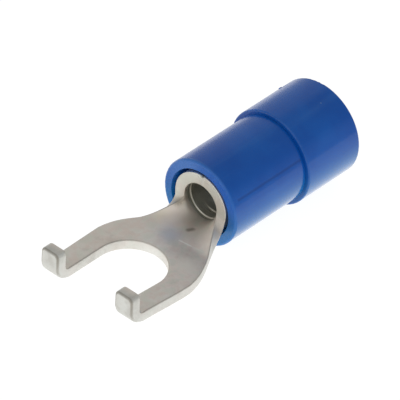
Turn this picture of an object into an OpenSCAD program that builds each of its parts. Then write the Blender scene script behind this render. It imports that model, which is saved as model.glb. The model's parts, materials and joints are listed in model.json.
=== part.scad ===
// Flanged fork terminal for a crimped wire end, in two pieces: a stamped and rolled
// fork of plated copper sheet, and a moulded sleeve pushed on its barrel.
// Frame: the origin is the centre of the slot's round root, on the tongue's underside.
// +X runs from the fork to the wire entry, +Z is the way the fork tips are turned up.

/* [Sheet] */
// Thickness of the copper sheet
sheet_t = 0.7; // [0.5:0.05:0.9]

/* [Fork] */
// Clear width of the slot, for an M4 stud
slot_w = 4.3; // [3.3:0.1:4.8]
// Width of each prong where it leaves the tongue
prong_w = 1.4; // [1:0.05:2]
// How much narrower each prong is at its tip
prong_taper = 0.1; // [0:0.02:0.3]
// From the centre of the slot's round root to the front of the tips
prong_reach = 3.6; // [3:0.05:8]
// Height of the turned-up tips over the underside
tip_h = 2.05; // [1.6:0.05:3]
// Inside radius of the bend at the tips
tip_bend_r = 0.25; // [0.1:0.05:0.5]
// Outside radius of that bend, where the sheet has thinned
tip_outer_r = 1.1; // [0.95:0.05:1.35]
// Rounding of the upper corners of the tips
tip_corner_r = 0.2; // [0.05:0.05:0.4]
// Rounding of the upper front edge of the tips
tip_front_r = 0.15; // [0.05:0.05:0.45]

/* [Shoulders and neck] */
// From the centre of the slot's round root to the start of the shoulders
shoulder_x = 1.1; // [0.4:0.1:1.8]
// Angle at which the shoulders leave the outer edges of the prongs
shoulder_angle = 6; // [0:1:15]
// How far that angle is held, as the arm of the outline's curve
shoulder_arm = 1.9; // [1:0.1:2.2]
// Width of the sheet at the neck, measured flat
neck_w = 3.9; // [3:0.1:4.4]
// How far the neck's width is held, as the arm of the outline's curve
neck_arm = 1.2; // [0.8:0.1:1.8]
// Fillet between the neck's edge and the barrel's front edge
neck_fillet_r = 0.4; // [0.2:0.05:0.6]
// Length over which the flat tongue curls up into the barrel
curl_len = 2.3; // [1.4:0.1:2.6]
// How slowly the curling starts, as the power at which it grows along that length
curl_power = 1.7; // [1.2:0.1:2.4]

/* [Barrel] */
// From the centre of the slot's round root to the barrel's front edge
barrel_x = 5.7; // [5.2:0.1:8]
// Length of the rolled barrel
barrel_len = 5.8; // [4.5:0.1:7]
// Diameter of the barrel's bore
bore_d = 2.45; // [2:0.05:3]
// Gap left where the two edges of the rolled sheet meet
seam_gap = 0.02; // [0.01:0.01:0.2]
// Depth of the broken edges along the seam, inside and outside
seam_break = 0.12; // [0.05:0.01:0.2]
// From the barrel's front edge to its first gripping groove
groove_start = 0.35; // [0.2:0.05:0.6]
// Spacing of the gripping grooves
groove_pitch = 0.65; // [0.5:0.05:0.9]
// Width of a gripping groove
groove_w = 0.22; // [0.1:0.02:0.35]
// Depth of a gripping groove
groove_d = 0.07; // [0.05:0.01:0.2]
// Number of gripping grooves
groove_n = 5; // [2:1:6]

/* [Sleeve] */
// How far the sleeve's front stands ahead of the barrel's front edge
sleeve_lead = 0.05; // [0:0.05:0.3]
// Radial clearance between the barrel and the sleeve's seat
seat_clearance = 0.02; // [0.01:0.01:0.05]
// Wall of the sleeve over the barrel
front_wall = 0.8; // [0.6:0.05:1.2]
// Length of the sleeve from its front to its shoulder
front_len = 5.9; // [5:0.1:8]
// Height of the shoulder where the rear length begins
shoulder_step = 0.27; // [0.15:0.01:0.6]
// Length of the sleeve behind its shoulder
rear_len = 4.35; // [3.6:0.05:7]
// Wall of the rear length, around the wire's insulation
rear_wall = 0.7; // [0.5:0.05:0.9]
// Radial gap around the barrel at the sleeve's front
mouth_gap = 0.25; // [0.05:0.01:0.35]
// Depth at which that gap has closed on the barrel
mouth_depth = 1; // [0.4:0.1:2]
// Length of the funnel that leads the strands into the barrel
funnel_len = 1.6; // [0.8:0.1:2.4]
// Rounding of the sleeve's front edge
front_edge_r = 0.15; // [0.05:0.05:0.3]
// Rounding of the shoulder's edge
shoulder_edge_r = 0.1; // [0.02:0.02:0.14]
// Rounding of the sleeve's rear edges
rear_edge_r = 0.1; // [0.05:0.05:0.2]

/* [Mould gate] */
// Diameter of the mark left by the mould's gate
gate_d = 0.2; // [0.15:0.05:0.8]
// Height of the mark over the sleeve
gate_h = 0.04; // [0.03:0.01:0.15]
// From the shoulder to the mark
gate_x = 3.4; // [0.5:0.1:3.8]
// Angle of the mark around the sleeve, from +Y towards +Z
gate_angle = 38; // [0:1:90]

/* [Hidden] */
$fn = 96;
// How far a cut reaches past the face that it starts from
cut_margin = 0.1;
// Flat strips across the curled neck, sections along it, and sections in its fillet
neck_strips = 18;
neck_sections = 15;
fillet_sections = 6;
// How far the neck's skin has sunk into the barrel's wall where the two join
join_inset = 0.025;
// Points along one shoulder of the flat outline
shoulder_points = 12;
// Halvings used to find a place on the shoulder's curve
curve_halvings = 24;

fork_w = slot_w + 2 * prong_w;
tip_x = -prong_reach;
curl_x = barrel_x - curl_len;
neck_x = barrel_x - neck_fillet_r;
bore_r = bore_d / 2;
barrel_r = bore_r + sheet_t;
mean_r = bore_r + sheet_t / 2;
axis_z = barrel_r;

seat_r = barrel_r + seat_clearance;
front_r = seat_r + front_wall;
rear_r = front_r + shoulder_step;
entry_r = rear_r - rear_wall;
sleeve_x = barrel_x - sleeve_lead;
shoulder_at = sleeve_x + front_len;
sleeve_end = shoulder_at + rear_len;
stop_x = barrel_x + barrel_len + seat_clearance;

// The shoulder's outline is one Bezier curve from the prong's edge to the neck
curve = [
    [shoulder_x, fork_w / 2],
    [shoulder_x + shoulder_arm * cos(shoulder_angle), fork_w / 2 - shoulder_arm * sin(shoulder_angle)],
    [neck_x - neck_arm, neck_w / 2],
    [neck_x, neck_w / 2]
];

function curve_at(u) =
    pow(1 - u, 3) * curve[0] + 3 * u * pow(1 - u, 2) * curve[1]
    + 3 * u * u * (1 - u) * curve[2] + pow(u, 3) * curve[3];

// Place on the curve that has a given x, found by halving
function curve_u(x, low = 0, high = 1, left = curve_halvings) =
    let (mid = (low + high) / 2)
    left == 0 ? mid :
    curve_at(mid).x < x ? curve_u(x, mid, high, left - 1) : curve_u(x, low, mid, left - 1);

function half_width(x) = curve_at(curve_u(x)).y;

// How far the curling has gone: none at the tongue, all of it at the barrel
function curled(x) = pow((x - curl_x) / curl_len, curl_power);

// Curvature of the sheet across the neck
function curl(x) = curled(x) / mean_r;

// Half of the sheet's thickness in the neck, where the curling thins it a little
function neck_half(x) = sheet_t / 2 - join_inset * curled(x);

// Sections of the neck as [x, flat half width], first along the curve, then round the fillet
neck_stations = concat(
    [for (i = [0 : neck_sections])
        let (x = curl_x + (neck_x - curl_x) * i / neck_sections)
        [x, half_width(x)]],
    [for (i = [1 : fillet_sections])
        let (a = 90 * i / fillet_sections)
        [neck_x + neck_fillet_r * sin(a), neck_w / 2 + neck_fillet_r * (1 - cos(a))]]
);

// Point of the curled sheet at a distance s across it and a height h over its middle
function sheet_point(x, s, h) =
    let (k = curl(x), a = k * s * 180 / PI)
    k == 0 ? [x, s, sheet_t / 2 + h]
           : [x, sin(a) * (1 / k - h), sheet_t / 2 + 1 / k - cos(a) * (1 / k - h)];

function section(station) =
    let (x = station.x, w = station.y, step = 2 * w / neck_strips, h = neck_half(x))
    concat(
        [for (j = [0 : neck_strips]) sheet_point(x, -w + j * step, -h)],
        [for (j = [neck_strips : -1 : 0]) sheet_point(x, -w + j * step, h)]
    );

module slot_plan() {
    circle(d = slot_w);
    translate([tip_x - cut_margin, -slot_w / 2]) square([prong_reach + cut_margin, slot_w]);
}

// Outline of the flat fork and shoulders, seen from above
module fork_plan() {
    side = concat(
        [[tip_x, fork_w / 2 - prong_taper]],
        [for (i = [0 : shoulder_points]) curve_at(curve_u(curl_x) * i / shoulder_points)]
    );
    difference() {
        polygon(concat(side, [for (i = [len(side) - 1 : -1 : 0]) [side[i].x, -side[i].y]]));
        slot_plan();
    }
}

// What is cut off a square corner at the origin to round it, with a margin outside of it
module corner_waste(r, margin = cut_margin) {
    difference() {
        translate([-margin, -margin]) square(r + margin);
        translate([r, r]) circle(r = r);
    }
}

// Side view of the fork: the flat sheet, the upright tip and the bend's rounding inside and outside
module fork_profile() {
    difference() {
        translate([tip_x, 0]) union() {
            square([curl_x - tip_x, sheet_t]);
            square([sheet_t, tip_h]);
            translate([sheet_t, sheet_t]) corner_waste(tip_bend_r, margin = 0);
        }
        translate([tip_x, 0]) corner_waste(tip_outer_r);
        translate([tip_x, tip_h]) mirror([0, 1]) corner_waste(tip_front_r);
    }
}

module tip_corner_cuts() {
    inner_y = slot_w / 2;
    outer_y = fork_w / 2 - prong_taper;
    for (side = [0, 1]) mirror([0, side, 0])
        translate([tip_x - cut_margin, 0, 0]) rotate([90, 0, 90])
            linear_extrude(sheet_t + 2 * cut_margin) {
                translate([inner_y, tip_h]) mirror([0, 1]) corner_waste(tip_corner_r);
                translate([outer_y, tip_h]) mirror([0, 1]) mirror([1, 0]) corner_waste(tip_corner_r);
            }
}

module fork() {
    difference() {
        intersection() {
            linear_extrude(tip_h) fork_plan();
            rotate([90, 0, 0]) linear_extrude(fork_w, center = true) fork_profile();
        }
        tip_corner_cuts();
    }
}

// The neck is lofted through its sections, from the flat tongue to the barrel's curve
module neck() {
    ring = 2 * (neck_strips + 1);
    last = len(neck_stations) - 1;
    function cap(base) = [for (j = [0 : neck_strips - 1])
        [base + j, base + j + 1, base + ring - 2 - j, base + ring - 1 - j]];
    points = [for (station = neck_stations) each section(station)];
    walls = [for (i = [0 : last - 1], j = [0 : ring - 1])
        let (a = i * ring + j, b = i * ring + (j + 1) % ring)
        each [[a, a + ring, b + ring], [a, b + ring, b]]];
    front = cap(0);
    back = [for (face = cap(last * ring)) [face[3], face[2], face[1], face[0]]];
    polyhedron(points, concat(walls, front, back), convexity = 4);
}

// Cross-section of the seam: the gap, and a V where its edges are broken inside and outside
module seam_plan() {
    translate([-seam_gap / 2, bore_r]) square([seam_gap, sheet_t]);
    for (r = [bore_r, barrel_r])
        translate([0, r]) rotate(45) square(seam_break * sqrt(2), center = true);
}

module barrel() {
    translate([barrel_x, 0, axis_z]) rotate([90, 0, 90]) difference() {
        cylinder(r = barrel_r, h = barrel_len);
        translate([0, 0, -cut_margin]) cylinder(r = bore_r, h = barrel_len + 2 * cut_margin);
        for (i = [0 : groove_n - 1])
            translate([0, 0, groove_start + i * groove_pitch]) cylinder(r = bore_r + groove_d, h = groove_w);
        translate([0, 0, -cut_margin]) linear_extrude(barrel_len + 2 * cut_margin) seam_plan();
    }
}

module terminal() {
    color([0.72, 0.70, 0.66]) union() {
        fork();
        neck();
        barrel();
    }
}

// Half section of the sleeve as [radius, distance along the barrel]
module sleeve_section() {
    difference() {
        polygon([
            [barrel_r + mouth_gap, sleeve_x],
            [front_r, sleeve_x],
            [front_r, shoulder_at],
            [rear_r, shoulder_at],
            [rear_r, sleeve_end],
            [entry_r, sleeve_end],
            [entry_r, stop_x + funnel_len],
            [bore_r, stop_x],
            [seat_r, stop_x],
            [seat_r, sleeve_x + mouth_depth]
        ]);
        translate([front_r, sleeve_x]) mirror([1, 0]) corner_waste(front_edge_r);
        translate([rear_r, shoulder_at]) mirror([1, 0]) corner_waste(shoulder_edge_r);
        translate([rear_r, sleeve_end]) mirror([1, 0]) mirror([0, 1]) corner_waste(rear_edge_r);
        translate([entry_r, sleeve_end]) mirror([0, 1]) corner_waste(rear_edge_r);
    }
}

module insulating_sleeve() {
    color([0.13, 0.30, 0.60]) union() {
        translate([0, 0, axis_z]) rotate([90, 0, 90]) rotate_extrude() sleeve_section();
        translate([shoulder_at + gate_x, 0, axis_z]) rotate([gate_angle - 90, 0, 0])
            translate([0, 0, rear_r - gate_h]) cylinder(d = gate_d, h = 2 * gate_h);
    }
}

terminal();
insulating_sleeve();
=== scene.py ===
"""Looks of a flanged fork terminal: a stamped, rolled and tinned copper fork in a moulded blue sleeve."""

import json
import math

import bpy
import numpy as np
from mathutils import Matrix, Vector
from mathutils.geometry import delaunay_2d_cdt


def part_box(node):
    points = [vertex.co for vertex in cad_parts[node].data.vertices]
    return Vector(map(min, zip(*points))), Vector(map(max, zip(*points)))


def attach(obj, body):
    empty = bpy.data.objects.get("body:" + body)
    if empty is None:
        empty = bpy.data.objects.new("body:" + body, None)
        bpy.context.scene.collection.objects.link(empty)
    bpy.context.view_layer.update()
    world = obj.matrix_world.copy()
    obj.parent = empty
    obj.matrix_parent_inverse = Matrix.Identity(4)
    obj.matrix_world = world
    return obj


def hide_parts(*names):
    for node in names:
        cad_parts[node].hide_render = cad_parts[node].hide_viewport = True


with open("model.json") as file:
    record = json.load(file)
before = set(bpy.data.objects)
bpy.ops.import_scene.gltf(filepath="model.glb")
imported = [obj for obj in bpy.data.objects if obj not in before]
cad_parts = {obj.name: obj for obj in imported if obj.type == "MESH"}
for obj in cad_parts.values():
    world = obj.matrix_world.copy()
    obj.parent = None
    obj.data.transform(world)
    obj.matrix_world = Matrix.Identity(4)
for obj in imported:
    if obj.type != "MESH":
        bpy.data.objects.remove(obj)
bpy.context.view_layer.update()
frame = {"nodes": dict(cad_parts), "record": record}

# Units: shapes are worked out in millimetres and made in metres
MM = 0.001
PER_MM = 1 / MM

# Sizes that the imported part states, in millimetres
mounts = {mount["name"]: mount for mount in frame["record"]["mounts"]}
terminal_low, terminal_high = (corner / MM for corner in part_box("terminal"))
sleeve_low, sleeve_high = (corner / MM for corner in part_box("insulating_sleeve"))
SHEET_T = mounts["stud_slot"]["dims"]["length_mm"]
SLOT_R = mounts["stud_slot"]["dims"]["r_mm"]
BORE_R = mounts["wire_barrel"]["dims"]["r_mm"]
BARREL_LEN = mounts["wire_barrel"]["dims"]["length_mm"]
AXIS_Z = mounts["wire_barrel"]["pos_m"][2] / MM
TIP_X = terminal_low.x
BARREL_END = terminal_high.x
FORK_W = terminal_high.y - terminal_low.y
SLEEVE_FRONT = sleeve_low.x
SLEEVE_END = sleeve_high.x

# Sizes of the stamped sheet that the record doesn't state
PRONG_TAPER = 0.1
TIP_H = 2.05
TIP_BEND_R = 0.25
TIP_OUTER_R = 1.1
TIP_CORNER_R = 0.3
TIP_FRONT_R = 0.15
SHOULDER_X = 1.1
SHOULDER_ANGLE = math.radians(6)
NEAR_SHOULDER_ARM = 1.9
FAR_SHOULDER_ARM = 2.2
NECK_W = 4.03
NEAR_NECK_ARM = 1.2
FAR_NECK_ARM = 1.9
NEAR_FILLET_R = 0.5
FAR_FILLET_R = 0.4
CURL_LEN = 2.3
CURL_POWER = 1.7
SEAM_GAP = 0.01
GROOVE_START = 0.35
GROOVE_PITCH = 0.65
GROOVE_W = 0.22
GROOVE_D = 0.07
GROOVE_WALL = 0.03
GROOVE_COUNT = 5

# How the photographed sample is off: its neck stands towards -Y and its prong on that side is lifted
NECK_SHIFT = 0.065
PRONG_LIFT = 0.22
LIFT_START = 1.0
LIFT_LEN = 4.0

# Rounding that the punch leaves on the edges of the fork and its tips, and on the barrel and its seam
TOP_EDGE_R = 0.08
UNDER_EDGE_R = 0.12
TIP_TOP_R = 0.06
TIP_UNDER_R = 0.16
BARREL_EDGE_R = 0.04
SEAM_EDGE_R = 0.16
EDGE_STEPS = 4
FLAT_RIM = 0.17

# Where the dull skin starts behind the barrel's front edge, its run-in, and its share on the cut edge
GRIME_FROM = 0.17
GRIME_LEN = 0.2
GRIME_ON_CUT_NEAR = 0.4
GRIME_ON_CUT_FAR = 0.32
# Across the sheet, where the deeper grooves start and stop to show
GROOVE_FADE_FROM = 1.2
GROOVE_FADE_LEN = 1.5
# How much painted highlight a groove's rear wall gets low in the barrel and high in it
GROOVE_LIT_LOW = 0.5
GROOVE_LIT_HIGH = 0.0
# How much darker the sheet's edges are on the fork, neck and tips, the tips' sides and their fronts
LINE_FORK = 0.45
LINE_NECK_NEAR = 0.5
LINE_FAR = 0.9
LINE_TIP = 0.5
LINE_TIP_BACK = 0.05
LINE_TIP_SIDE = 0.85
LINE_TIP_LOW = 0.45
LINE_TIP_FROM = 0.5
LINE_TIP_FRONT = 1.6
LINE_TIP_BLEED = 0.08
TIP_FRONT_DULL = 0.08
TIP_FRONT_SHINE = 1.2
# How bright the cut tip ends are, and over what length the cut edge loses its shine towards the barrel
TIP_END_SHINE = 0.1
ROOT_SHINE = 0.6
SHINE_FADE_LEN = 1.0
BARREL_SHINE = 0.5
# How much painted shade darkens the cut edge in the fillets beside the barrel, where along them, and how
# far up the legs
FILLET_SHADE = 0.5
FILLET_SHADE_AT = 5.45
FILLET_SHADE_LEN = 0.28
FILLET_SHADE_TO_NEAR = 2.9
FILLET_SHADE_TO_FAR = 2.45
FILLET_SHADE_FADE = 0.5

# Spacing of the mesh's points along the outline, along the barrel's edges and over the sheet
OUTLINE_STEP = 0.1
BARREL_STEP = 0.2
GRID_STEP = 0.14
RING_CLEARANCE = 0.06
# How the triangulation keeps what is inside its outline, and how near its points are one
KEEP_INSIDE = 1
MERGE_WITHIN = 1e-5

HALF_T = SHEET_T / 2
BEND_R = TIP_BEND_R + SHEET_T
BEND_MID_R = TIP_BEND_R + HALF_T
BEND_X = TIP_X + BEND_R
BARREL_X = BARREL_END - BARREL_LEN
CURL_X = BARREL_X - CURL_LEN
MEAN_R = BORE_R + HALF_T
SEAM_S = math.pi * MEAN_R - SEAM_GAP / 2
TIP_U = BEND_X - BEND_MID_R * math.pi / 2 - (TIP_H - BEND_R)


# The flat pattern, with u along the part and s across it
def line(start, end, step=OUTLINE_STEP):
    """Points from start towards end, without the end."""
    start, end = np.array(start), np.array(end)
    count = max(1, round(np.linalg.norm(end - start) / step))
    return start + (end - start) * np.arange(count)[:, None] / count


def arc(centre, radius, start, end):
    """Points on an arc from one angle towards another, in degrees, without the end."""
    sweep = math.radians(abs(end - start))
    count = max(EDGE_STEPS, round(radius * sweep / OUTLINE_STEP))
    angles = np.radians(start + (end - start) * np.arange(count) / count)
    return np.array(centre) + radius * np.stack([np.cos(angles), np.sin(angles)], 1)


def shoulder_curve(end, shoulder_arm, neck_arm):
    """Points on the Bezier curve from a prong's outer edge to the neck, without the end."""
    along, down = math.cos(SHOULDER_ANGLE), math.sin(SHOULDER_ANGLE)
    start = np.array([SHOULDER_X, FORK_W / 2])
    near_start = start + shoulder_arm * np.array([along, -down])
    near_end = end - np.array([neck_arm, 0])
    count = round(np.linalg.norm(end - start) / OUTLINE_STEP)
    t = (np.arange(count) / count)[:, None]
    first_half = (1 - t) ** 3 * start + 3 * t * (1 - t) ** 2 * near_start
    return first_half + 3 * t**2 * (1 - t) * near_end + t**3 * end


def half_outline(neck_y, shoulder_arm, neck_arm, fillet_r):
    """One side of the flat pattern, from the slot's root round the prong, neck and barrel."""
    tip_y = FORK_W / 2 - PRONG_TAPER
    tip_in = TIP_U + TIP_CORNER_R
    neck_x = BARREL_X - fillet_r
    fillet_y = neck_y + fillet_r
    return np.concatenate([
        arc([0, 0], SLOT_R, 0, 90),
        line([0, SLOT_R], [tip_in, SLOT_R]),
        arc([tip_in, SLOT_R + TIP_CORNER_R], TIP_CORNER_R, 270, 180),
        line([TIP_U, SLOT_R + TIP_CORNER_R], [TIP_U, tip_y - TIP_CORNER_R]),
        arc([tip_in, tip_y - TIP_CORNER_R], TIP_CORNER_R, 180, 90),
        line([tip_in, tip_y], [SHOULDER_X, FORK_W / 2]),
        shoulder_curve(np.array([neck_x, neck_y]), shoulder_arm, neck_arm),
        arc([neck_x, fillet_y], fillet_r, 270, 360),
        line([BARREL_X, fillet_y], [BARREL_X, SEAM_S], BARREL_STEP),
        line([BARREL_X, SEAM_S], [BARREL_END, SEAM_S], BARREL_STEP),
        line([BARREL_END, SEAM_S], [BARREL_END, 0], BARREL_STEP),
    ])


def outline():
    """The whole flat pattern's outline, counter-clockwise."""
    far = half_outline(NECK_W / 2 - NECK_SHIFT, FAR_SHOULDER_ARM, FAR_NECK_ARM, FAR_FILLET_R)
    near = half_outline(NECK_W / 2 + NECK_SHIFT, NEAR_SHOULDER_ARM, NEAR_NECK_ARM, NEAR_FILLET_R)
    mirrored = near[1:] * [1, -1]
    return np.concatenate([far, [[BARREL_END, 0]], mirrored[::-1]])[::-1]


def outward(points):
    """Direction out of a counter-clockwise outline at each point, longer at a corner, as a mitre."""
    def normal(step):
        step = step / np.linalg.norm(step, axis=1)[:, None]
        return np.stack([step[:, 1], -step[:, 0]], 1)

    before = normal(points - np.roll(points, 1, 0))
    after = normal(np.roll(points, -1, 0) - points)
    both = before + after
    return 2 * both / (both**2).sum(1)[:, None]


def inside(points, ring, clearance):
    """Which points lie in a ring and clear of its corners."""
    start, end = ring, np.roll(ring, -1, 0)
    u, s = points[:, :1], points[:, 1:]
    spans = (start[:, 1] > s) != (end[:, 1] > s)
    rise = np.where(end[:, 1] == start[:, 1], 1, end[:, 1] - start[:, 1])
    crossing = start[:, 0] + (s - start[:, 1]) / rise * (end[:, 0] - start[:, 0])
    within = (spans & (u < crossing)).sum(1) % 2 == 1
    distance = np.hypot(u - start[:, 0], s - start[:, 1]).min(1)
    return within & (distance > clearance)


def groove_starts():
    return BARREL_X + GROOVE_START + GROOVE_PITCH * np.arange(GROOVE_COUNT)


def low_in_barrel(s):
    return smooth(np.clip((GROOVE_FADE_FROM - s) / GROOVE_FADE_LEN, 0, 1))


def groove_shown(start, s):
    """How far a groove shows: the first one all round, the deeper ones only low in the barrel."""
    return np.where(start > BARREL_X + GROOVE_PITCH, low_in_barrel(s), 1.0)


def groove_depth(u, s):
    """Depth of the gripping grooves under the sheet's upper side."""
    depth = np.zeros_like(u)
    for start in groove_starts():
        edge = np.minimum(u - start, start + GROOVE_W - u) / GROOVE_WALL
        depth = np.maximum(depth, GROOVE_D * np.clip(edge, 0, 1) * groove_shown(start, s))
    return depth


def underside(u):
    """Height of the lower side over the middle surface, up where the outside of the bend has thinned."""
    more = TIP_OUTER_R - BEND_R
    bend = np.clip((BEND_X - u) / BEND_MID_R, 0, math.pi / 2)
    beyond = np.maximum(np.maximum(u - BEND_X, BEND_X - BEND_MID_R * math.pi / 2 - u), 0)
    straight = TIP_OUTER_R - np.sqrt(TIP_OUTER_R**2 - np.maximum(more - beyond, 0) ** 2)
    lean = more * (np.sin(bend) + np.cos(bend))
    curved = BEND_R + lean - np.sqrt(lean**2 + TIP_OUTER_R**2 - 2 * more**2)
    return np.where(beyond > 0, straight, curved) - HALF_T


def sheet_grid(ring):
    """Points over the sheet inside a ring, with extra rows at the grooves' edges."""
    rear = GROOVE_W - GROOVE_WALL
    steps = [0, GROOVE_WALL, rear - GROOVE_WALL, rear, GROOVE_W, GROOVE_W + GROOVE_WALL]
    groove_rows = [groove_starts() + step for step in steps]
    rows = np.concatenate([np.arange(TIP_U, BARREL_END, GRID_STEP)] + groove_rows)
    columns = np.arange(-SEAM_S, SEAM_S, GRID_STEP)
    points = np.stack(np.meshgrid(rows, columns), -1).reshape(-1, 2)
    return points[inside(points, ring, RING_CLEARANCE)]


# Bending of the flat pattern
def smooth(t):
    return t * t * (3 - 2 * t)


def middle(u, s):
    """Points of the sheet's middle surface once the tips are turned up and the barrel is rolled."""
    bend = np.clip((BEND_X - u) / BEND_MID_R, 0, math.pi / 2)
    rest = np.maximum(BEND_X - u - BEND_MID_R * math.pi / 2, 0)
    x = np.where(u < BEND_X, BEND_X - BEND_MID_R * np.sin(bend), u)
    turn = s * np.clip((u - CURL_X) / CURL_LEN, 0, 1) ** CURL_POWER / MEAN_R
    y = s * np.sinc(turn / math.pi)
    rise = s * turn / 2 * np.sinc(turn / 2 / math.pi) ** 2
    lift = np.where(s < 0, PRONG_LIFT, 0) * smooth(np.clip((LIFT_START - u) / LIFT_LEN, 0, 1))
    z = HALF_T + BEND_MID_R * (1 - np.cos(bend)) + rest + rise + lift
    return np.stack([x, y, z], 1)


def bent(flat, height):
    """Places in space of points on the flat pattern, at heights over its middle surface."""
    u, s = flat.T
    step = 1e-4
    along = middle(u + step, s) - middle(u - step, s)
    along[u > CURL_X] = [1, 0, 0]
    across = middle(u, s + step) - middle(u, s - step)
    normal = np.cross(along, across)
    normal /= np.linalg.norm(normal, axis=1)[:, None]
    return middle(u, s) + normal * height[:, None]


def on_tip_end(border):
    return border[:, 0] < TIP_U + OUTLINE_STEP / 2


def on_barrel(border):
    return border[:, 0] > BARREL_X - OUTLINE_STEP / 2


def on_seam(border):
    return on_barrel(border) & (np.abs(border[:, 1]) > SEAM_S - OUTLINE_STEP)


def edge_radii(border):
    """Rounding of the upper and lower edge at each point of the outline."""
    u = border[:, 0]
    tip = u < BEND_X
    barrel = on_barrel(border)
    seam = on_seam(border)
    over = np.select([barrel, tip], [BARREL_EDGE_R, TIP_TOP_R], TOP_EDGE_R)
    under = np.select([seam, barrel, tip], [SEAM_EDGE_R, BARREL_EDGE_R, TIP_UNDER_R], UNDER_EDGE_R)
    return over, np.where(on_tip_end(border), TIP_FRONT_R, under)


def edge_rings(border):
    """Inset from the outline and height over the middle surface of each ring round the sheet's edge."""
    over, under = edge_radii(border)
    low = underside(border[:, 0])
    rim = np.full(len(border), FLAT_RIM)
    angles = np.linspace(0, math.pi / 2, EDGE_STEPS + 1)
    rings = [(rim, np.full(len(border), HALF_T))]
    rings += [(over * (1 - math.sin(a)), HALF_T - over * (1 - math.cos(a))) for a in angles]
    rings += [(under * (1 - math.sin(a)), low + under * (1 - math.cos(a))) for a in angles[::-1]]
    return rings + [(rim, None)]


def edge_shine(border):
    """How bright the cut edge is at each point of the outline."""
    u, s = border.T
    left = np.clip((BARREL_X - u) / SHINE_FADE_LEN, 0, 1)
    root = (1 - ROOT_SHINE) * smooth(np.clip(u / SLOT_R, 0, 1))
    left = np.where(np.hypot(u, s) < SLOT_R + OUTLINE_STEP, left - root, left)
    return np.select([on_tip_end(border), on_barrel(border)], [TIP_END_SHINE, BARREL_SHINE], left)


def fillet_painted_shade(border):
    """How much painted shade darkens the cut edge at each point of the outline, in the fillets beside the
    barrel.
    """
    u, s = border.T
    along = np.exp(-(((u - FILLET_SHADE_AT) / FILLET_SHADE_LEN) ** 2))
    up_leg = np.where(s < 0, FILLET_SHADE_TO_NEAR + s, FILLET_SHADE_TO_FAR - s)
    return FILLET_SHADE * along * smooth(np.clip(up_leg / FILLET_SHADE_FADE, 0, 1))


def edge_lines(border):
    """How much each point of each ring lies on a darker line along a rounded edge, or in the painted shade
    of the fillets beside the barrel.
    """
    u, s = border.T
    at_neck = smooth(np.clip((u - SHOULDER_X) / (BARREL_X - SHOULDER_X), 0, 1))
    over = np.where(on_barrel(border), 0, LINE_FORK + (LINE_NECK_NEAR - LINE_FORK) * at_neck)
    off_slot = np.hypot(np.maximum(u, 0), s) > SLOT_R + OUTLINE_STEP
    over = np.where((s > 0) & off_slot & ~on_barrel(border), LINE_FAR, over)
    upright = smooth(np.clip((BEND_X - u) / BEND_MID_R - LINE_TIP_FROM, 0, 1))
    upright *= LINE_TIP_LOW + (1 - LINE_TIP_LOW) * smooth(np.clip((BEND_X - u) / (BEND_X - TIP_U), 0, 1))
    over_lines, under_lines = [], []
    for t in np.linspace(0, 1, EDGE_STEPS + 1):
        ridge = math.sin(math.pi * t)
        back = max(LINE_TIP * ridge, LINE_TIP_BACK * t)
        front = LINE_TIP_FRONT * (LINE_TIP_BLEED + math.sqrt(t)) * (1 - t)
        over_lines.append(np.where(on_tip_end(border), back, over * ridge))
        under_lines.append(np.where(on_tip_end(border), front, LINE_TIP_SIDE * upright * ridge))
    lines = np.stack([np.zeros_like(u)] + over_lines + under_lines + [np.zeros_like(u)])
    # the fillets beside the barrel are darkened with painted shade
    return np.maximum(lines, fillet_painted_shade(border))


def bore_grime_and_groove_highlight(flat):
    """How dull the upper side is in the barrel, apart from the grooves' rear walls, which keep a painted
    highlight where light falls.
    """
    u, s = flat.T
    grime = smooth(np.clip((u - BARREL_X - GRIME_FROM) / GRIME_LEN, 0, 1))
    for start in groove_starts():
        lit = GROOVE_LIT_HIGH + (GROOVE_LIT_LOW - GROOVE_LIT_HIGH) * low_in_barrel(s)
        rear = start + GROOVE_W - GROOVE_WALL / 2
        # the rear walls are spared the grime: a painted highlight
        grime = np.where(np.abs(u - rear) < GROOVE_WALL, grime * (1 - lit), grime)
    return grime


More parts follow.
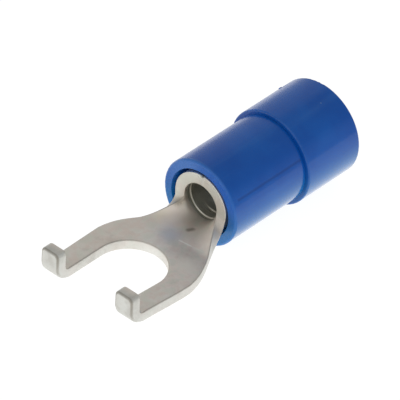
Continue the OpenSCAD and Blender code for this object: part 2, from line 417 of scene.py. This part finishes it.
def sheet_mesh():
    """The stamped, bent and rolled sheet as one closed mesh, with its rounded edge marked."""
    border = outline()
    out = outward(border)
    rings = edge_rings(border)
    ring_size = len(border)
    inner = border - out * FLAT_RIM
    grid = sheet_grid(inner)
    flat = np.concatenate([inner, grid])
    made = delaunay_2d_cdt([Vector(p) for p in flat], [], [range(ring_size)], KEEP_INSIDE, MERGE_WITHIN)
    source = [ids[0] for ids in made[3]]
    triangles = np.array([[source[i] for i in face] for face in made[2]])

    upper_grid = len(rings) * ring_size
    lower_grid = upper_grid + len(grid)
    lower_ring = (len(rings) - 1) * ring_size
    upper = np.where(triangles < ring_size, triangles, triangles - ring_size + upper_grid)
    lower = np.where(triangles < ring_size, triangles + lower_ring, triangles - ring_size + lower_grid)

    places = [border - out * inset[:, None] for inset, _ in rings] + [grid, grid]
    heights = [height for _, height in rings[:-1]] + [underside(inner[:, 0])]
    heights += [HALF_T - groove_depth(*grid.T), underside(grid[:, 0])]
    flat = np.concatenate(places)
    points = bent(flat, np.concatenate(heights))

    here = np.arange(ring_size)
    after = np.roll(here, -1)
    walls = []
    for ring in range(len(rings) - 1):
        top, low = ring * ring_size, (ring + 1) * ring_size
        walls.append(np.stack([here + top, here + low, after + low, after + top], 1))
    faces = upper.tolist() + lower[:, ::-1].tolist() + np.concatenate(walls).tolist()

    mesh = bpy.data.meshes.new("terminal_sheet")
    mesh.from_pydata((points * MM).tolist(), [], faces)
    mesh.shade_smooth()
    edge = np.zeros(len(points), np.float32)
    turned = smooth(np.linspace(0, 1, EDGE_STEPS + 1))
    shine = np.outer(np.concatenate([turned, turned[::-1]]), edge_shine(border))
    under_tip = np.where(border[:, 0] < BEND_X, TIP_FRONT_SHINE, 0)
    shine[EDGE_STEPS + 1 :] = np.maximum(shine[EDGE_STEPS + 1 :], under_tip)
    edge[ring_size:lower_ring] = shine.ravel()
    arris = np.zeros(len(points), np.float32)
    arris[:upper_grid] = edge_lines(border).ravel()
    low_side = np.arange(len(points)) >= lower_grid
    low_side[lower_ring:upper_grid] = True
    tip_front = low_side & (flat[:, 0] < BEND_X)
    arris[tip_front] = TIP_FRONT_DULL
    edge[tip_front] = TIP_FRONT_SHINE
    mesh.attributes.new("edge", "FLOAT", "POINT").data.foreach_set("value", edge)
    mesh.attributes.new("arris", "FLOAT", "POINT").data.foreach_set("value", arris)
    bore = np.zeros(len(points), np.float32)
    under_rings = lower_ring - EDGE_STEPS * ring_size
    on_cut = np.where(border[:, 1] < 0, GRIME_ON_CUT_NEAR, GRIME_ON_CUT_FAR)
    bore[:upper_grid] = np.tile(np.where(on_barrel(border), on_cut, 0), len(rings))
    bore[under_rings:upper_grid] = np.tile(np.where(on_seam(border), 1, 0), EDGE_STEPS + 1)
    bore[:ring_size] = bore_grime_and_groove_highlight(inner)
    bore[upper_grid:lower_grid] = bore_grime_and_groove_highlight(grid)
    mesh.attributes.new("bore", "FLOAT", "POINT").data.foreach_set("value", bore)
    mesh.update()
    return mesh


# Node helpers
def add(tree, kind, inputs=None, **settings):
    """A new node with its settings, and its inputs set to values or linked to other nodes' outputs."""
    node = tree.nodes.new(kind)
    for name, value in settings.items():
        setattr(node, name, value)
    for name, value in (inputs or {}).items():
        if isinstance(value, bpy.types.NodeSocket):
            tree.links.new(value, node.inputs[name])
        else:
            node.inputs[name].default_value = value
    return node


def new_tree(owner):
    """An empty node tree for a material or a world."""
    owner.use_nodes = True
    owner.node_tree.nodes.clear()
    return owner.node_tree


def noise(tree, place, per_mm, detail, roughness, stretch=(1, 1, 1)):
    """Noise with a grain of about 1 / per_mm millimetres, drawn out along an axis by a stretch below 1."""
    scales = [per_mm * PER_MM * k for k in stretch]
    scaled = add(tree, "ShaderNodeVectorMath", {0: place, 1: scales}, operation="MULTIPLY")
    inputs = {"Vector": scaled.outputs[0], "Scale": 1.0, "Detail": detail, "Roughness": roughness}
    return add(tree, "ShaderNodeTexNoise", inputs).outputs["Fac"]


def spread(tree, value, low, high, to_low=0.0, to_high=1.0):
    """A value taken smoothly from one range to another."""
    inputs = {"Value": value, "From Min": low, "From Max": high, "To Min": to_low, "To Max": to_high}
    return add(tree, "ShaderNodeMapRange", inputs, interpolation_type="SMOOTHSTEP").outputs["Result"]


def calc(tree, operation, a, b=0.0):
    return add(tree, "ShaderNodeMath", {0: a, 1: b}, operation=operation).outputs[0]


def times(tree, a, b):
    return calc(tree, "MULTIPLY", a, b)


def plus(tree, a, b):
    return calc(tree, "ADD", a, b)


def rest_of(tree, a):
    return calc(tree, "SUBTRACT", 1.0, a)


# Sockets of the mix node that carry colours: its two inputs and its output
MIX_FROM = 6
MIX_TO = 7
MIX_COLOUR = 2


def mix(tree, factor, a, b):
    """A colour between two others, which are values or outputs."""
    inputs = {"Factor": factor, MIX_FROM: a, MIX_TO: b}
    return add(tree, "ShaderNodeMix", inputs, data_type="RGBA").outputs[MIX_COLOUR]


def spot(tree, place, centre, radius):
    """One at a point of the part, in millimetres, and none at a radius from it."""
    centre = [k * MM for k in centre]
    gap = add(tree, "ShaderNodeVectorMath", {0: place, 1: centre}, operation="DISTANCE").outputs["Value"]
    return spread(tree, gap, 0.0, radius * MM, 1.0, 0.0)


def stroke(tree, place, start, end, width):
    """One along a straight stroke on the part, in millimetres, and none at its width from it."""
    start, end = Vector(start) * MM, Vector(end) * MM
    along = end - start
    gap = add(tree, "ShaderNodeVectorMath", {0: place, 1: start}, operation="SUBTRACT").outputs[0]
    per_length = along / along.length_squared
    share = add(tree, "ShaderNodeVectorMath", {0: gap, 1: per_length}, operation="DOT_PRODUCT")
    held = add(tree, "ShaderNodeClamp", {"Value": share.outputs["Value"]}).outputs[0]
    foot = add(tree, "ShaderNodeVectorMath", {0: along, "Scale": held}, operation="SCALE").outputs[0]
    away = add(tree, "ShaderNodeVectorMath", {0: gap, 1: foot}, operation="DISTANCE").outputs["Value"]
    return spread(tree, away, 0.0, width * MM, 1.0, 0.0)


def bump(tree, height, depth_mm, strength, before=None):
    inputs = {"Height": height, "Distance": depth_mm * MM, "Strength": strength}
    if before:
        inputs["Normal"] = before
    return add(tree, "ShaderNodeBump", inputs).outputs["Normal"]


def surface(tree, inputs):
    """Ends a material's tree in one principled shader."""
    shader = add(tree, "ShaderNodeBsdfPrincipled", inputs)
    add(tree, "ShaderNodeOutputMaterial", {"Surface": shader.outputs[0]})


# Tints of the tin plating, with a painted shade and a painted reflection among them
TIN_LIGHT = (0.90, 0.88, 0.81, 1)
TIN_DULL = (0.84, 0.795, 0.72, 1)
TIN_EDGE = (0.76, 0.77, 0.74, 1)
TIN_STAIN = (0.36, 0.32, 0.27, 1)
TIN_ARRIS = (0.34, 0.31, 0.26, 1)
TIN_BORE = (0.46, 0.47, 0.40, 1)
TIN_ROSE = (0.86, 0.75, 0.67, 1)
TIN_SCRATCH = (1, 0.98, 0.92, 1)
TIN_WARM = (0.98, 0.89, 0.80, 1)
TIN_SAGE = (0.82, 0.83, 0.73, 1)
TIN_TAN = (0.95, 0.86, 0.70, 1)
TIN_COOL = (0.73, 0.735, 0.755, 1)
TIN_PALE = (1, 0.96, 0.86, 1)
# painted reflection that lightens the slot's root wall
TIN_ROOT_REFLECTION = (0.92, 0.93, 0.91, 1)
TIN_FAWN = (0.78, 0.71, 0.63, 1)
# painted shade where the neck curls into the barrel
TIN_CURL_SHADE = (0.40, 0.35, 0.25, 1)

# Tinted spots on the tin, stains and marks among them, with a painted shade where the neck curls into the
# barrel and a painted reflection on the slot's root wall: where they are, how far they reach and their
# tint
WARM_AT = (2.0, -2.2, SHEET_T)
WARM_R = 5.0
TINTED_SPOTS = (
    ((4.9, 1.3, SHEET_T), 1.6, TIN_WARM),
    ((5.75, 0.5, 0.9), 0.8, TIN_WARM),
    ((-3.2, -2.8, 2.27), 0.8, TIN_WARM),
    ((4.35, 1.6, SHEET_T), 0.8, TIN_TAN),
    ((3.56, 0.18, SHEET_T), 1.1, TIN_COOL),
    ((2.3, -2.3, SHEET_T), 1.2, TIN_PALE),
    ((4.6, -1.35, 0.75), 1.0, TIN_FAWN),
    # painted shade where the neck curls into the barrel
    ((5.38, 1.3, 1.5), 0.55, TIN_CURL_SHADE),
    ((4.4, 1.1, SHEET_T), 0.8, TIN_WARM),
    # painted reflection that lightens the slot's root wall
    ((1.6, 0.0, -0.6), 2.2, TIN_ROOT_REFLECTION),
    ((5.7, 0.86, 3.14), 0.8, TIN_SAGE),
    ((5.7, -1.31, 2.53), 0.7, TIN_ROSE),
)
DENT_FROM = (4.61, -0.215, SHEET_T)
DENT_TO = (4.80, -0.33, SHEET_T)
DENT_W = 0.26
SCRATCH_FROM = (3.55, -0.45, SHEET_T)
SCRATCH_MID = (3.64, -1.27, SHEET_T)
SCRATCH_TO = (3.72, -2.26, SHEET_T)
SCRATCH_W = 0.07

# Noises in the tin: grains per millimetre, detail and roughness, and how the rolling drew the grain out
CLOUD_NOISE = (0.8, 6.0, 0.62)
STAIN_NOISE = (0.5, 5.0, 0.6)
ROSE_NOISE = (0.33, 2.0, 0.5)
MOTTLE_NOISE = (1.7, 3.0, 0.5)
GRAIN_NOISE = (9.0, 3.0, 0.6)
PITS_NOISE = (16.0, 2.0, 0.5)
DIRT_NOISE = (1.3, 2.0, 0.5)
ROLLED = (0.12, 1, 1)

# Between which values of its noise each tint comes in, and the tints' full shares
CLOUD_TURN = (0.35, 0.65)
ROSE_TURN = (0.45, 0.6)
MOTTLE_ROSE_TURN = (0.5, 0.62)
MOTTLE_SAGE_TURN = (0.38, 0.5)
STAIN_TURN = (0.54, 0.72)
DIRT_TURN = (0.5, 0.7)
ROSE_SHARE = 0.4
WARM_SHARE = 0.6
MOTTLE_SHARE = 0.5
STAIN_SHARE = 0.22
SPOT_SHARE = 0.8
EDGE_SHARE = 0.7
DIRT_SHARE = 0.15
BORE_SHARE = 0.75
DENT_SHARE = 0.8
FAINT_SHARE = 0.5

# Roughness of the tin where dull and light, what edges and pits add, and how far the scratch is matt
ROUGH_TURN = (0.3, 0.7)
ROUGH_DULL = 0.54
ROUGH_LIGHT = 0.44
ROUGH_EDGE = 0.12
PITS_TURN = (0.4, 0.7)
ROUGH_PITS = 0.08
SCRATCH_MATT = 0.5

# Bumps of the tin: depth in millimetres and strength
GRAIN_BUMP = (0.01, 0.4)
PITS_BUMP = (0.006, 0.5)
DENT_BUMP = (0.03, 0.4)


def tinned_copper():
    """Satin tin plating: cloudy, faintly brown in places, with a rolling grain and polished edges, and
    painted shade and highlights in a few places.
    """
    material = bpy.data.materials.new("tinned_copper")
    tree = new_tree(material)
    place = add(tree, "ShaderNodeTexCoord").outputs["Object"]
    edge = add(tree, "ShaderNodeAttribute", attribute_name="edge").outputs["Fac"]
    arris = add(tree, "ShaderNodeAttribute", attribute_name="arris").outputs["Fac"]
    bore = add(tree, "ShaderNodeAttribute", attribute_name="bore").outputs["Fac"]
    cloud = noise(tree, place, *CLOUD_NOISE)
    stain = noise(tree, place, *STAIN_NOISE)
    rose = noise(tree, place, *ROSE_NOISE)
    mottle = noise(tree, place, *MOTTLE_NOISE)
    grain = noise(tree, place, *GRAIN_NOISE, ROLLED)
    pits = noise(tree, place, *PITS_NOISE)
    dirt = noise(tree, place, *DIRT_NOISE)
    warm = spot(tree, place, WARM_AT, WARM_R)
    dent = stroke(tree, place, DENT_FROM, DENT_TO, DENT_W)
    scratch = stroke(tree, place, SCRATCH_FROM, SCRATCH_MID, SCRATCH_W)
    faint = stroke(tree, place, SCRATCH_MID, SCRATCH_TO, SCRATCH_W)

    colour = mix(tree, spread(tree, cloud, *CLOUD_TURN), TIN_DULL, TIN_LIGHT)
    colour = mix(tree, spread(tree, rose, *ROSE_TURN, 0.0, ROSE_SHARE), colour, TIN_ROSE)
    colour = mix(tree, times(tree, warm, WARM_SHARE), colour, TIN_WARM)
    colour = mix(tree, spread(tree, mottle, *MOTTLE_ROSE_TURN, 0.0, MOTTLE_SHARE), colour, TIN_ROSE)
    colour = mix(tree, spread(tree, mottle, *MOTTLE_SAGE_TURN, MOTTLE_SHARE, 0.0), colour, TIN_SAGE)
    colour = mix(tree, spread(tree, stain, *STAIN_TURN, 0.0, STAIN_SHARE), colour, TIN_STAIN)
    # stains and marks, with one spot of painted shade by the barrel and one of painted reflection at the
    # slot's root
    for centre, radius, tint in TINTED_SPOTS:
        tinted = times(tree, spot(tree, place, centre, radius), SPOT_SHARE)
        colour = mix(tree, tinted, colour, tint)
    colour = mix(tree, times(tree, edge, EDGE_SHARE), colour, TIN_EDGE)
    dirty = spread(tree, dirt, *DIRT_TURN, 0.0, DIRT_SHARE)
    colour = mix(tree, times(tree, edge, dirty), colour, TIN_STAIN)
    colour = mix(tree, arris, colour, TIN_ARRIS)
    colour = mix(tree, times(tree, bore, BORE_SHARE), colour, TIN_BORE)
    colour = mix(tree, times(tree, dent, DENT_SHARE), colour, TIN_STAIN)
    colour = mix(tree, scratch, colour, TIN_SCRATCH)
    colour = mix(tree, times(tree, faint, FAINT_SHARE), colour, TIN_SCRATCH)
    rough = spread(tree, cloud, *ROUGH_TURN, ROUGH_DULL, ROUGH_LIGHT)
    rough = plus(tree, rough, times(tree, edge, ROUGH_EDGE))
    rough = plus(tree, rough, spread(tree, pits, *PITS_TURN, 0.0, ROUGH_PITS))
    normal = bump(tree, grain, *GRAIN_BUMP)
    normal = bump(tree, pits, *PITS_BUMP, normal)
    normal = bump(tree, rest_of(tree, dent), *DENT_BUMP, normal)
    metal = rest_of(tree, times(tree, scratch, SCRATCH_MATT))
    surface(tree, {"Base Color": colour, "Metallic": metal, "Roughness": rough, "Normal": normal})
    return material


# Tints of the sleeve, some of them for painted light and shade
BLUE = (0.001, 0.088, 0.435, 1)
BLUE_LIGHT = (0.003, 0.115, 0.50, 1)
# the flow streaks' tint, also used for painted highlights
BLUE_STREAK_AND_HIGHLIGHT = (0.06, 0.205, 0.56, 1)
# the mould line's tint, also used for painted shade at the shoulder's step
BLUE_LINE_AND_SHADE = (0.001, 0.036, 0.20, 1)
# painted light on the underside
BLUE_UNDER_LIGHT = (0.001, 0.17, 0.46, 1)
BLUE_GREY = (0.012, 0.075, 0.24, 1)
# painted highlight on a small mould mark
BLUE_GLINT = (0.10, 0.21, 0.46, 1)

# Noises in the plastic: grains per millimetre, detail and roughness, and how the flow drew the streaks out
FLOW_NOISE = (0.35, 4.0, 0.55)
STREAK_NOISE = (1.3, 3.0, 0.5)
SKIN_NOISE = (7.0, 3.0, 0.55)
FLOWED = (0.1, 1, 1)
FLOW_TURN = (0.3, 0.7)
STREAK_TURN = (0.5, 0.75)
STREAK_SHARE = 0.16

# The mould line: its angle about the axis, width, ends and share
MOULD_LINE_ANGLE = math.radians(151)
MOULD_LINE_W = 0.14
MOULD_LINE_START = 6.1
MOULD_LINE_END = 11.4
MOULD_LINE_SHARE = 0.45

# Heights over the axis between which the painted light on the paler underside comes in, and its share
UNDER_LIGHT_FROM = 1.0
UNDER_LIGHT_TO = -1.0
UNDER_LIGHT_SHARE = 0.8

# Places of the sleeve's shoulder, rims, ring, glint and gate, with their reach and share; the shoulder's
# dark band is painted shade, and the rims' and ring's paler tints and the glint are painted light
REAR_LEN = 4.35
SHOULDER_STEP = 0.27
SHOULDER_AT = SLEEVE_END - REAR_LEN
REAR_R = (sleeve_high.y - sleeve_low.y) / 2
# painted shade: a dark band at the shoulder's step, its half width and share
STEP_DARK_W = 0.12
STEP_DARK = 0.3
# painted highlights along the front rim and the shoulder's edge: their width and shares
RIM_LIGHT_W = 0.2
FRONT_RIM_LIGHT = 0.38
SHOULDER_RIM_LIGHT = 0.2
# painted light: the front ring's face is paler towards its top
RING_PALE_AT = (SLEEVE_FRONT, 1.5, AXIS_Z + 2.0)
RING_PALE_R = 3.0
RING_PALE_SHARE = 0.62
RING_DARK_AT = (SLEEVE_FRONT, -1.95, AXIS_Z - 0.1)
RING_DARK_R = 1.1
RING_DARK_SHARE = 0.6
# painted highlight on a small mould mark: where it is and its reach
GLINT_AT = (14.59, -0.97, 4.78)
GLINT_R = 0.08
GATE_ANGLE = math.radians(38)
GATE_X = SHOULDER_AT + 3.4
GATE_AT = (GATE_X, REAR_R * math.cos(GATE_ANGLE), AXIS_Z + REAR_R * math.sin(GATE_ANGLE))
GATE_DULL_R = 0.7

# Gloss of the sleeve's skin, and its clear coat, full on the -Y side and thin and rougher on the +Y side
SKIN_TURN = (0.3, 0.7)
SKIN_ROUGH = (0.12, 0.2)
GATE_ROUGH = 0.6
SKIN_IOR = 1.5
SKIN_SPECULAR = 0.25
COAT_FULL = 0.8
COAT_THIN = 0.45
COAT_FULL_Y = -0.8
COAT_THIN_Y = 1.4
COAT_ROUGH = 0.1
THIN_ROUGH = 0.12
COAT_IOR = 1.25

# Bumps of the plastic: depth in millimetres and strength
SKIN_BUMP = (0.01, 0.05)
STREAK_BUMP = (0.02, 0.15)
LINE_BUMP = (0.02, 0.4)


def blue_plastic():
    """Moulded plastic with a satin skin: faint flow streaks and one mould line, with painted highlights on
    the rims, ring and a mould mark, painted light on the underside and painted shade at the shoulder's
    step.
    """
    material = bpy.data.materials.new("blue_plastic")
    tree = new_tree(material)
    place = add(tree, "ShaderNodeTexCoord").outputs["Object"]
    axes = add(tree, "ShaderNodeSeparateXYZ", {0: place}).outputs
    cloud = noise(tree, place, *FLOW_NOISE)
    streak = noise(tree, place, *STREAK_NOISE, FLOWED)
    skin = noise(tree, place, *SKIN_NOISE)

    over_axis = calc(tree, "SUBTRACT", axes["Z"], AXIS_Z * MM)
    line_y, line_z = math.cos(MOULD_LINE_ANGLE), math.sin(MOULD_LINE_ANGLE)
    across_line = plus(tree, times(tree, axes["Y"], -line_z), times(tree, over_axis, line_y))
    along_line = plus(tree, times(tree, axes["Y"], line_y), times(tree, over_axis, line_z))
    on_line = spread(tree, calc(tree, "ABSOLUTE", across_line), 0.0, MOULD_LINE_W * MM, 1.0, 0.0)
    on_line = times(tree, on_line, calc(tree, "GREATER_THAN", along_line, 0.0))
    on_line = times(tree, on_line, calc(tree, "LESS_THAN", axes["X"], MOULD_LINE_END * MM))
    on_line = times(tree, on_line, calc(tree, "GREATER_THAN", axes["X"], MOULD_LINE_START * MM))
    squares = [calc(tree, "POWER", side, 2.0) for side in (axes["Y"], over_axis)]
    radius = calc(tree, "SQRT", plus(tree, *squares))
    # painted highlights: the outer edges of the front rim and the shoulder are paler
    rim_lights = []
    front_rim = (SLEEVE_FRONT, REAR_R - SHOULDER_STEP, FRONT_RIM_LIGHT)
    shoulder_rim = (SHOULDER_AT, REAR_R, SHOULDER_RIM_LIGHT)
    for x, r, share in (front_rim, shoulder_rim):
        behind = spread(tree, axes["X"], x * MM, (x + RIM_LIGHT_W) * MM, 1.0, 0.0)
        ahead = calc(tree, "GREATER_THAN", axes["X"], (x - RIM_LIGHT_W) * MM)
        outer = spread(tree, radius, (r - RIM_LIGHT_W) * MM, r * MM)
        rim_lights.append(times(tree, times(tree, outer, times(tree, behind, ahead)), share))
    rim = plus(tree, *rim_lights)
    # painted shade: a dark band at the shoulder's step
    from_step = calc(tree, "ABSOLUTE", calc(tree, "SUBTRACT", axes["X"], SHOULDER_AT * MM))
    step = spread(tree, from_step, 0.0, STEP_DARK_W * MM, STEP_DARK, 0.0)
    # painted highlight on a small mould mark
    glint = spot(tree, place, GLINT_AT, GLINT_R)
    gate = spot(tree, place, GATE_AT, GATE_DULL_R)
    ring_dark = times(tree, spot(tree, place, RING_DARK_AT, RING_DARK_R), RING_DARK_SHARE)
    # painted light on the front ring's face
    ring = times(tree, spot(tree, place, RING_PALE_AT, RING_PALE_R), RING_PALE_SHARE)
    ring = times(tree, ring, calc(tree, "LESS_THAN", axes["X"], (SLEEVE_FRONT + RIM_LIGHT_W) * MM))
    # painted light: the sleeve is paler towards its underside
    under = spread(tree, over_axis, UNDER_LIGHT_TO * MM, UNDER_LIGHT_FROM * MM, UNDER_LIGHT_SHARE, 0.0)

    colour = mix(tree, spread(tree, cloud, *FLOW_TURN), BLUE, BLUE_LIGHT)
    colour = mix(tree, under, colour, BLUE_UNDER_LIGHT)
    colour = mix(tree, spread(tree, streak, *STREAK_TURN, 0.0, STREAK_SHARE), colour, BLUE_STREAK_AND_HIGHLIGHT)
    colour = mix(tree, ring, colour, BLUE_STREAK_AND_HIGHLIGHT)
    colour = mix(tree, ring_dark, colour, BLUE_GREY)
    colour = mix(tree, step, colour, BLUE_LINE_AND_SHADE)
    colour = mix(tree, rim, colour, BLUE_STREAK_AND_HIGHLIGHT)
    colour = mix(tree, times(tree, on_line, MOULD_LINE_SHARE), colour, BLUE_LINE_AND_SHADE)
    colour = mix(tree, glint, colour, BLUE_GLINT)
    dull = spread(tree, axes["Y"], COAT_FULL_Y * MM, COAT_THIN_Y * MM, 0.0, THIN_ROUGH)
    rough = spread(tree, skin, *SKIN_TURN, *SKIN_ROUGH)
    rough = plus(tree, rough, times(tree, gate, GATE_ROUGH))
    rough = plus(tree, rough, dull)
    normal = bump(tree, skin, *SKIN_BUMP)
    normal = bump(tree, streak, *STREAK_BUMP, normal)
    normal = bump(tree, rest_of(tree, on_line), *LINE_BUMP, normal)
    coat = spread(tree, axes["Y"], COAT_FULL_Y * MM, COAT_THIN_Y * MM, COAT_FULL, COAT_THIN)
    coat = times(tree, coat, rest_of(tree, gate))
    coat_rough = plus(tree, dull, COAT_ROUGH)
    inputs = {"Base Color": colour, "Roughness": rough, "Normal": normal}
    inputs |= {"IOR": SKIN_IOR, "Specular IOR Level": SKIN_SPECULAR}
    inputs |= {"Coat Weight": coat, "Coat Roughness": coat_rough}
    inputs |= {"Coat IOR": COAT_IOR, "Coat Normal": normal}
    surface(tree, inputs)
    return material


# The object
terminal = bpy.data.objects.new("terminal_sheet", sheet_mesh())
bpy.context.scene.collection.objects.link(terminal)
terminal.data.materials.append(tinned_copper())
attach(terminal, "root")
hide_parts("terminal")

sleeve = frame["nodes"]["insulating_sleeve"]
sleeve.data.materials.clear()
sleeve.data.materials.append(blue_plastic())

# The floor touches the fork's bend and the sleeve's rear rim, so it is tilted in the part's frame
FLOOR_SIZE = 0.14
FLOOR_GAP = 0.01
FLOOR_ALBEDO = 0.8
FLOOR_BOUNCE = 0.8
FLOOR_SEEN = 0.18
FLOOR_GLOW = 0.95


def white_floor():
    """A white floor that glows a little where it is seen or reflected, and keeps the object's shadow."""
    material = bpy.data.materials.new("white_floor")
    tree = new_tree(material)
    path = add(tree, "ShaderNodeLightPath").outputs
    seen = calc(tree, "MAXIMUM", path["Is Camera Ray"], path["Is Glossy Ray"])
    seen = calc(tree, "MAXIMUM", seen, path["Is Transmission Ray"])
    sides = []
    for albedo, glow in ((FLOOR_ALBEDO, FLOOR_BOUNCE), (FLOOR_SEEN, FLOOR_GLOW)):
        matt = add(tree, "ShaderNodeBsdfDiffuse", {"Color": (albedo, albedo, albedo, 1)})
        lamp = add(tree, "ShaderNodeEmission", {"Color": (1, 1, 1, 1), "Strength": glow})
        sides.append(add(tree, "ShaderNodeAddShader", {0: matt.outputs[0], 1: lamp.outputs[0]}))
    mixed = add(tree, "ShaderNodeMixShader", {0: seen, 1: sides[0].outputs[0], 2: sides[1].outputs[0]})
    add(tree, "ShaderNodeOutputMaterial", {"Surface": mixed.outputs[0]})
    return material


front_rest = Vector((BEND_X, 0, 0))
rear_rest = Vector((SLEEVE_END, 0, sleeve_low.z))
slope = rear_rest - front_rest
bpy.ops.mesh.primitive_plane_add(size=FLOOR_SIZE)
floor = bpy.context.object
floor.name = "floor"
floor.rotation_euler = (0, math.atan2(-slope.z, slope.x), 0)
floor.location = ((front_rest + rear_rest) / 2 - Vector((0, 0, FLOOR_GAP))) * MM
floor.data.materials.append(white_floor())

# Light: a grey surround, darker overhead and towards -Y, and one large soft box in front, left and above
WORLD_LOW = 0.57
WORLD_HIGH = 0.36
WORLD_AXIS = (0, -0.35, 1)
WORLD_FADE = (0.48, 0.72)
world = bpy.data.worlds.new("surround")
bpy.context.scene.world = world
world_tree = new_tree(world)
towards = add(world_tree, "ShaderNodeTexCoord").outputs["Generated"]
overhead = add(world_tree, "ShaderNodeVectorMath", {0: towards, 1: WORLD_AXIS}, operation="DOT_PRODUCT")
strength = spread(world_tree, overhead.outputs["Value"], *WORLD_FADE, WORLD_LOW, WORLD_HIGH)
background = add(world_tree, "ShaderNodeBackground", {"Color": (1, 1, 1, 1), "Strength": strength})
add(world_tree, "ShaderNodeOutputWorld", {"Surface": background.outputs[0]})

SOFT_BOX_FROM = Vector((-0.62, -0.25, 0.74))
SOFT_BOX_AWAY = 0.5
SOFT_BOX_SIZE = 0.6
SOFT_BOX_POWER = 0.5
soft_box = bpy.data.objects.new("soft_box", bpy.data.lights.new("soft_box", "AREA"))
bpy.context.scene.collection.objects.link(soft_box)
soft_box.data.size = SOFT_BOX_SIZE
soft_box.data.energy = SOFT_BOX_POWER
soft_box.location = SOFT_BOX_FROM * SOFT_BOX_AWAY
soft_box.rotation_euler = SOFT_BOX_FROM.to_track_quat("Z", "Y").to_euler()

# The camera stands where the photograph was taken from
CAMERA_AZIMUTH = math.radians(-49.693)
CAMERA_ELEVATION = math.radians(38.924)
CAMERA_ROLL = math.radians(3.58)
CAMERA_TARGET = Vector((5.666, 0, 2.145))
CAMERA_AWAY = 260.67
CAMERA_LENS = 417.84
CAMERA_CLIP = 0.01

level = math.cos(CAMERA_ELEVATION)
back = Vector((
    math.sin(CAMERA_AZIMUTH) * level,
    -math.cos(CAMERA_AZIMUTH) * level,
    math.sin(CAMERA_ELEVATION),
))
camera = bpy.data.objects.new("camera", bpy.data.cameras.new("camera"))
bpy.context.scene.collection.objects.link(camera)
camera.data.lens = CAMERA_LENS
camera.data.clip_start = CAMERA_CLIP
turned = back.to_track_quat("Z", "Y").to_matrix() @ Matrix.Rotation(CAMERA_ROLL, 3, "Z")
camera.matrix_world = Matrix.Translation((CAMERA_TARGET + back * CAMERA_AWAY) * MM) @ turned.to_4x4()
bpy.context.scene.camera = camera
bpy.context.scene.view_settings.view_transform = "Standard"
